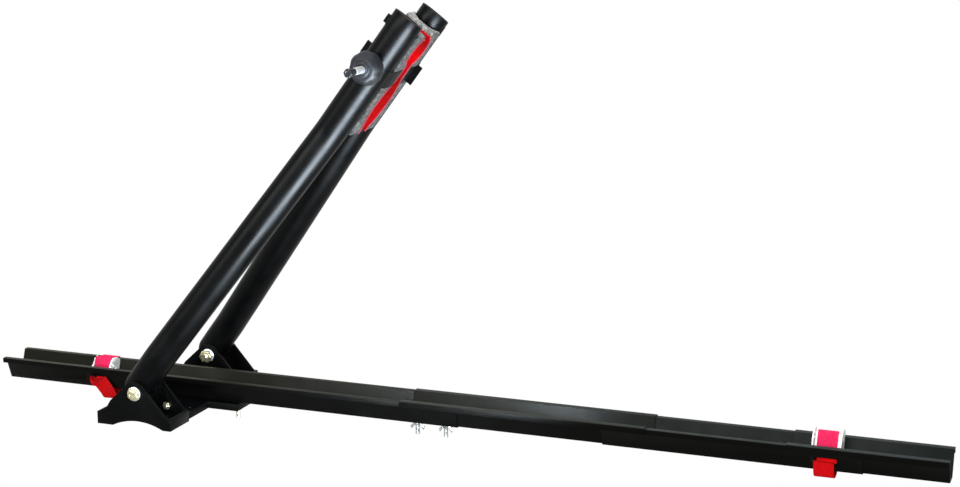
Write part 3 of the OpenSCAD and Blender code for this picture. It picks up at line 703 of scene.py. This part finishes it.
def bands(side, arm):
    """The band round tube and pad with its ear, and the short top band, which has an ear on the near arm."""
    near = side < 0
    round_r = TUBE_R + 0.15
    flank = PAD_HALF + 0.6

    def arc(start, end):
        return [(round_r * math.sin(math.radians(a)), round_r * math.cos(math.radians(a)))
                for a in range(start, end + 1, 6)]

    down = [(flank, -8), (flank, 15 - HEAD_HALF)]
    up = [(-o, v) for o, v in reversed(down)]
    strip = face_out(band_strip(side, BAND_AT, BAND_W, up + arc(-90, 90) + down))
    cut(strip, [stud_cutter(side)])
    ear_at, ear_l = (BAND_AT + NEAR_EAR_UP, NEAR_EAR_L) if near else (BAND_AT, FAR_EAR_L)
    parts = [strip, band_ear(side, ear_at, ear_l, flank, flank + 7.0, -8)]
    parts.append(band_strip(side, TOP_BAND_AT, TOP_BAND_W, arc(*sorted((side * 54, side * 96)))))
    if near:
        side_of_tube = TUBE_R * 0.95
        parts.append(band_ear(side, TOP_BAND_AT, TOP_BAND_W, side_of_tube, side_of_tube + 4.6, 5))
    settle(face_out(joined(arm + "_arm_bands", parts)), arm + "_bands")


# Pads and liners
LOW_SEAT_R = ((LOW_SEAT_L / 2) ** 2 + LOW_SEAT_DEPTH ** 2) / (2 * LOW_SEAT_DEPTH)
SEAT_CHORD = math.sqrt(SEAT_R ** 2 - (SEAT_R - SEAT_DEPTH) ** 2)
SEAT_AT = STUD_AT + SEAT_EDGE + SEAT_CHORD
LOW_SEAT_AT = STUD_AT - SEAT_EDGE - LOW_SEAT_L / 2


def seat_arc(at, r, depth):
    """Points of a round seat in the jaw, from its lower edge to its upper edge."""
    steps = 24
    centre = JAW_HALF + depth - r
    half = math.acos((r - depth) / r)
    angles = [half - 2 * half * i / steps for i in range(steps + 1)]
    return [(at - r * math.sin(a), centre + r * math.cos(a)) for a in angles]


def jaw_line():
    """The jaw's face as points (along the arm, out from the middle), with its corners rounded."""
    line = [(PAD_FROM, JAW_HALF), (PAD_FROM + 4, JAW_HALF)]
    line += seat_arc(LOW_SEAT_AT, LOW_SEAT_R, LOW_SEAT_DEPTH)
    line += [(STUD_AT - 4, JAW_HALF), (STUD_AT + 4, JAW_HALF)]
    line += seat_arc(SEAT_AT, SEAT_R, SEAT_DEPTH)
    line += [(LINER_TO, JAW_HALF)]
    for _ in range(2):
        smooth = [line[0]]
        for (a, b), (c, d) in zip(line, line[1:]):
            smooth += [(a * 0.75 + c * 0.25, b * 0.75 + d * 0.25), (a * 0.25 + c * 0.75, b * 0.25 + d * 0.75)]
        line = smooth + [line[-1]]
    return line


def liner(side, arm):
    """A moulded strip over the jaw's face, with rounded long edges."""
    line = jaw_line()
    bead_at = PAD_HALF + 0.8 - BEAD_R
    section = []
    for edge in (-1, 1):
        for i in range(9):
            a = math.pi * i / 8 - math.pi / 2
            out = LINER_T / 2 + edge * BEAD_R * math.sin(a)
            section.append((edge * (bead_at + BEAD_R * math.cos(a)), max(0.0, min(LINER_T, out))))
    rings = [[arm_point(o - ARM_OFFSET, side * (v + nv * n), u + nu * n) for o, n in section]
             for (u, v), (nu, nv) in zip(line, normals(line))]
    if side < 0:
        rings.reverse()
    settle(loft(arm + "_jaw_liner", rings, sharp=50), arm + "_liner")


def pad(side, arm):
    """Foam block: the CAD solid, cut back behind the liner, with eased edges and an uneven skin."""
    name, node = arm + "_jaw_pad", arm + "_pad"
    obj = to_object(name, bm=welded(NODES[node].data))
    low, past = PAD_FROM - 5, -20
    gap = [(low, past), (low, JAW_HALF)] + jaw_line() + [(ARM_L, JAW_HALF), (ARM_L, past)]
    back = LINER_T + 0.2
    rings = [[arm_point(off - ARM_OFFSET, side * (v + back), u) for u, v in gap] for off in (-40, 40)]
    cut(obj, [loft("jaw_gap", rings if side > 0 else rings[::-1])])
    remesh = obj.modifiers.new("remesh", "REMESH")
    remesh.mode = "VOXEL"
    remesh.voxel_size = 0.0017
    remesh.use_smooth_shade = True
    ease = obj.modifiers.new("ease", "SMOOTH")
    ease.factor = 0.5
    ease.iterations = 5
    lumps = bpy.data.textures.new(name + "_lumps", "CLOUDS")
    lumps.noise_scale = 0.006
    skin = obj.modifiers.new("skin", "DISPLACE")
    skin.texture = lumps
    skin.texture_coords = "LOCAL"
    skin.mid_level = 0.5
    skin.strength = 0.0007
    apply_modifiers(obj, 70)
    settle(obj, node)


# Fasteners
def hex_row(across, z, chamfer, up=1):
    """A row of a hexagon, measured across its corners, which are cut back by a cone."""
    flat = across / 2 * math.cos(math.pi / 6)

    def row(a):
        r = flat / math.cos((a + math.pi / 6) % (math.pi / 3) - math.pi / 6)
        return r, z - up * max(0.0, r - flat * chamfer) * 0.55
    return row


def thread(name, place, r, start, end):
    """A helical thread: the radius follows the turn and the height."""
    pitch = 1.5
    depth = pitch * 0.5
    steps = max(4, int((end - start) / pitch * 6))
    rows = [(r - depth, start)]
    for i in range(steps + 1):
        z = start + (end - start) * i / steps

        def row(a, z=z):
            phase = (z / pitch - a / (2 * math.pi)) % 1
            return r - depth * abs(2 * phase - 1), z
        rows.append(row)
    rows += [(r - depth, end), (r - depth - 0.8, end + 0.6)]
    return lathe(name, rows, place, 24, sharp=60)


def pivot_bolts():
    """Flanged hexagon bolts with a slightly domed head, one through each arm's foot."""
    parts = []
    face = BRACKET_Y + TUBE_R + CHEEK_PLAY + BASE_T + WASHER_T + 0.2
    flange = [(9.2, 0), (9.4, 0.4), (9.3, 1.2), (8.0, 1.7)]
    dome = [(5.8, 5.8), (3.2, 6.0), (2.9, 5.7)]
    rows = flange + [hex_row(PIVOT_HEX, 1.9, 1.02, -1), hex_row(PIVOT_HEX, 5.4, 0.98)] + dome
    for s, _ in SIDES:
        under_head = Vector((0, s * face, PIVOT_Z)) * MM
        inward = mm_frame(under_head, (0, -s, 0))
        parts += [lathe("head", rows, mm_frame(under_head, (0, s, 0)), 72, sharp=28),
                  lathe("shank", [(PIVOT_R, -0.3), (PIVOT_R, 48)], inward, 32),
                  thread("screw", inward, PIVOT_R, 48, 68)]
    settle(joined("pivot_bolts_form", parts), "pivot_bolts")


# Clamp knob and stud
def clamp_knob():
    """A round plastic knob with shallow lobes, over a threaded metal bush."""
    place = mm_frame(arm_point(-ARM_OFFSET, -KNOB_BASE, STUD_AT), (0, -1, 0), OFF_AXIS)
    skirt = [(8.05, 0), (21, 0), (23.6, 0.6), (24.7, 2.2), (25, 4.5), (24.8, 8), (24.1, 11.5), (22.9, 14.6)]
    crown = [(21.4, 17.2), (19.9, 19.2), (18.6, 20.6), (17.0, 21.6), (14.9, 22.2), (13.4, 22.3)]
    collar = [(12.9, 21.9), (12.2, 21.8), (11.7, 22.3), (10.6, 22.8), (9.4, 23.0), (8.6, 22.9), (8.05, 22.6)]
    socket = [(5.3, 22.3), (5.3, 19.8), (8.05, 19.8), (8.05, 0)]
    bush = [(5.06, 0), (7.9, 0), (7.9, 19.2), (7.5, 19.6), (5.5, 19.6), (5.06, 19.2), (5.06, 0)]

    def scalloped(r, z):
        def row(a):
            dip = (0.5 - 0.5 * math.cos(KNOB_LOBES * a)) ** 1.6
            hold = max(0.0, min(1.0, (r - 16) / 6)) * (1 - 0.3 * z / KNOB_H)
            return r - KNOB_INSET - LOBE_DEPTH * dip * hold, z
        return row

    rows = [scalloped(r, z) for r, z in skirt + crown + collar] + socket
    settle(lathe("clamp_knob_body", rows, place, 160, ends=False, sharp=55), "knob")
    settle(lathe("knob_bush", bush, place, 48, ends=False), "knob_insert")


def clamp_stud():
    """The stud with a thread for its nut at the far end, and a dark hexagon cap on its near tip."""
    place = mm_frame(arm_point(-ARM_OFFSET, 0, STUD_AT), (0, -1, 0), OFF_AXIS)
    cap_from = STUD_TIP - CAP_L
    far = thread("stud_far", place, STUD_R, -84.5, -70)
    core = lathe("stud_core", [(SHANK_R, -70.5), (SHANK_R, 90)], place, 40)
    near = lathe("stud_near", [(SHANK_R, 89.5), (SHANK_R, cap_from)], place, 48)
    settle(joined("stud_form", [far, core, near]), "stud")
    neck = [(4.0, cap_from), (4.95, STUD_TIP - 18.4), (4.95, STUD_TIP - 6.5)]
    hexagon = [hex_row(CAP_HEX, STUD_TIP - 6.4, 1.02, -1), hex_row(CAP_HEX, STUD_TIP - 1.2, 1.0)]
    tip = [(5.2, STUD_TIP - 1.0), (4.9, STUD_TIP - 0.4), (3.4, STUD_TIP), (2.6, STUD_TIP - 0.6)]
    cap = lathe("stud_cap", neck + hexagon + tip, place, 72, sharp=25)
    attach(cap, "arms")
    dress(cap, "plastic")


# Straps
def ribbon(name, stations, body):
    """Webbing as a band with rounded selvedges; stations are (centre, across, out) in metres."""
    half, r = WEB_W / 2 * MM, RIBBON_T / 2 * MM
    selvedges = ((1, (-90, -45, 0, 45, 90)), (-1, (90, 135, 180, 225, 270)))
    section = [(s * (half - r) + r * math.cos(a), r * math.sin(a))
               for s, angles in selvedges for a in map(math.radians, angles)]
    count = len(section)
    rings, lengths, run = [], [], 0.0
    for i, (centre, across, out) in enumerate(stations):
        run += (centre - stations[i - 1][0]).length if i else 0.0
        lengths.append(run)
        rings.append([centre + across * a + out * b for a, b in section])
    obj = loft(name, rings, sharp=50)
    layer = obj.data.uv_layers.new(name="UVMap")
    for loop in obj.data.loops:
        station, j = divmod(loop.vertex_index, count)
        layer.data[loop.index].uv = (section[j][0], lengths[station])
    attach(obj, body)
    dress(obj, "webbing")
    return obj


def smooth_path(points, rounds):
    for _ in range(rounds):
        finer = [points[0]]
        for a, b in zip(points, points[1:]):
            finer += [a.lerp(b, 0.25), a.lerp(b, 0.75)]
        points = finer + [points[-1]]
    return points


def stations_along(points):
    """A path's points with the strap's way across, near X, and its outward side."""
    across = Vector((1, 0, 0))
    stations = []
    for i, p in enumerate(points):
        way = (points[min(len(points) - 1, i + 1)] - points[max(0, i - 1)]).normalized()
        side = (across - way * across.dot(way)).normalized()
        stations.append((p, side, way.cross(side)))
    return stations


WALL_LEAN = math.atan((MOUTH_W - FLOOR_W) / 2 / (TRAY_H - TRAY_T))


def wall_point(x, u, n, level):
    """A point in front of the rear wall, in metres: u up the wall and n into the tray, in millimetres."""
    sin, cos = math.sin(WALL_LEAN), math.cos(WALL_LEAN)
    n += level * NEST
    y = FLOOR_W / 2 + u * sin - n * cos - TRAY_T / 2 / cos
    return Vector((x, y, TRAY_Z + TRAY_T + u * cos + n * sin)) * MM


def loop_ribbon(strap):
    """The webbing: in over the floor, out at the front slot, under the tray and up over the rear lip."""
    up = strap.level * NEST
    rim = TRAY_Z + TRAY_H

    def wall(u, n):
        return wall_point(strap.x, u, n, strap.level) / MM

    def front(z, out):
        return -(FLOOR_W / 2 + (z - TRAY_Z) * math.tan(WALL_LEAN)) - out

    def point(share, y, z):
        return Vector((strap.x + strap.slide * share, y, z))

    down_the_wall = [wall(33, 3.4), wall(20, 3.4), wall(8, 3.4), wall(3.5, 4.5) + Vector((0, -1.5, 0))]
    over_the_floor = [point(0, 4, 7.5 + up), point(0, -5, 7.5 + up), point(0, -11, 10.5 + up)]
    out_and_down = [point(0.2, front(18, -3.5), 17.0), point(0.4, front(18.2, 1.2), 18.0),
                    point(0.5, front(16, 2.4), 15.8), point(0.75, front(9, 3.0), 8),
                    point(0.95, front(3, 2.8), -1)]
    under = [point(1.0, -8, -strap.sag * 0.9), point(0.9, 1, -strap.sag), point(0.7, 10, -strap.sag * 0.7)]
    back_up = [point(0.4, FLOOR_W / 2 + 3.2, 2.5), point(0.15, 22, 13), point(0, LIP_W / 2 - 2 + up, 27)]
    over_the_lip = [point(0, LIP_W / 2 + 1.3 + up, rim - 5), point(0, LIP_W / 2 + 1.2 + up, rim + 0.2 + up),
                    point(0, LIP_W / 2 - 2 + up, rim + 1.5 + up), point(0, MOUTH_W / 2 + 1, rim + 1.5 + up)]
    rows = down_the_wall + over_the_floor + out_and_down + under + back_up + over_the_lip + [wall(36, 4.6)]
    points = smooth_path([r * MM for r in rows], 2)
    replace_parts(ribbon(strap.arm + "_webbing", stations_along(points), "base"), strap.arm + "_strap")


def strap_tail(strap):
    """The folded tail of the webbing lies on the front of the lever and goes over its tip."""
    face = CAM_N + CAM_R + 1.3
    tip = CAM_U + strap.lever_l
    on_lever = [(CAM_U - 1, face + 1.2), (CAM_U + 3, face + 2.2), (tip - 9, face + 2.0),
                (tip - 3, face + 1.2)]
    over_tip = [(tip + 1.6, face + 0.2), (tip + 2.2, face - 2.4), (tip - 0.6, face - 4.6),
                (tip - 5, face - 5.0)]
    points = [wall_point(strap.x, u, n, strap.level) for u, n in on_lever + over_tip]
    ribbon(strap.arm + "_webbing_tail", stations_along(smooth_path(points, 3)), strap.arm + "_cam")


def cam_lever(strap):
    """Cam with a flattened bite and a thumb plate whose tip curls forward."""
    length = strap.lever_l
    half = (BUCKLE_W - 2 * CHEEK_T - 1.2) / 2
    cam = [(CAM_R * math.cos(a), CAM_R * math.sin(a)) for a in map(math.radians, range(100, 331, 10))]
    under = [(2.2, 3.6), (length - 5, 2.6), (length - 1.6, 3.2), (length, 3.6)]
    over = [(length - 0.4, 4.8), (length - 2, 4.7), (length - 5, 4.5), (2, 5.0), (-0.6, 4.7)]
    rings = []
    for dx, inset in ((-half, 0.3), (-half + 0.3, 0), (half - 0.3, 0), (half, 0.3)):
        size = 1 - inset / 12
        rings.append([wall_point(strap.x + dx, CAM_U + u * size, CAM_N + n * size, strap.level)
                      for u, n in cam + under + over])
    lever = face_out(loft(strap.arm + "_cam_lever", rings, sharp=40))
    axis = mm_frame(wall_point(strap.x, CAM_U, CAM_N, strap.level), (1, 0, 0), (0, 0, 1))
    cut(lever, [lathe("lever_bore", [(2.06, -half - 2), (2.06, half + 2)], axis, 40)])
    settle(lever, strap.arm + "_lever")


def buckle_cheek(strap, side, deep):
    """A tall cheek with broken edges, a way for the pin and a round eye near its top."""
    x = strap.x + side * (BUCKLE_W - CHEEK_T) / 2
    half_t = CHEEK_T / 2
    top = strap.cheek_top
    low = [(0.3, 9), (deep - 9, 8.5), (deep - 3, 11), (deep, 16)]
    high = [(deep, top - 17), (deep - 2.5, top - 8), (deep - 7, top - 2), (deep * 0.3, top), (2.4, top - 1)]
    outline = low + high + [(0.3, top - 5)]
    rings = []
    for dx, edge in ((-half_t, 1), (-0.8, 0), (0.8, 0), (half_t, 1)):
        rings.append([wall_point(x + dx, u + 0.5 * edge * (1 if u < 25 else -1),
                                 n - (0.4 * edge if n > 1 else 0), strap.level) for n, u in outline])
    holes = []
    for u, n, r in ((CAM_U, CAM_N, PIN_HOLE_R), (top - 13, deep - 7.5, EYE_R)):
        place = mm_frame(wall_point(x, u, n, strap.level), (1, 0, 0), (0, 0, 1))
        holes.append(lathe("cheek_hole", [(r, -3), (r, 3)], place, 40))
    return cut(loft("cheek", rings, sharp=30), holes)


def cam_buckle(strap):
    """Pressed buckle frame: a base plate with two tall cheeks."""
    parts = [buckle_cheek(strap, side, deep) for (side, _), deep in zip(SIDES, strap.cheeks)]
    plate = []
    for n, inset in ((0.1, 0.3), (0.4, 0), (1.8, 0), (2.1, 0.3)):
        w = BUCKLE_W / 2 - 2.6 - inset
        low, high = 6 + inset, 34 - inset
        plate.append([wall_point(strap.x + dx, u, n, strap.level)
                      for dx, u in ((-w, low), (w, low), (w, high), (-w, high))])
    parts.append(loft("plate", plate, sharp=30))
    settle(face_out(joined(strap.arm + "_buckle_frame", parts)), strap.arm + "_buckle")


# Assembly
for node, slot in SLOT_OF.items():
    dress(NODES[node], slot)

add_camera()
add_floor()
add_world()
add_lamps()

for make in (tube_cap, bands):
    for side, arm in SIDES:
        make(side, arm)
pivot_bolts()
for make in (loop_ribbon, strap_tail, cam_lever, cam_buckle):
    for strap in STRAPS:
        make(strap)
for make in (arm_tube, liner, pad):
    for side, arm in SIDES:
        make(side, arm)
clamp_knob()
clamp_stud()

# How much the edges of each pressed, turned or cast piece are broken, in millimetres
BROKEN_EDGES = {
    "first_section": 0.25, "long_section": 0.25, "short_section": 0.25, "last_section": 0.25,
    "saddle": 0.6, "near_bracket": 0.6, "far_bracket": 0.6,
    "pivot_washers": 0.3, "pivot_nuts": 0.5, "stud_nut": 0.5, "knob_washer": 0.3, "stud_washer": 0.3,
    "bracket_nuts": 0.4, "saddle_nuts": 0.4, "bracket_bolts": 0.4, "clamp_screws": 0.4, "wing_nuts": 0.3,
}
for node, width in BROKEN_EDGES.items():
    softened(node, width)
for piece in (bpy.data.objects["wing_nuts_form"], NODES["joiner_bolts"]):
    dress(piece, "bright_zinc")
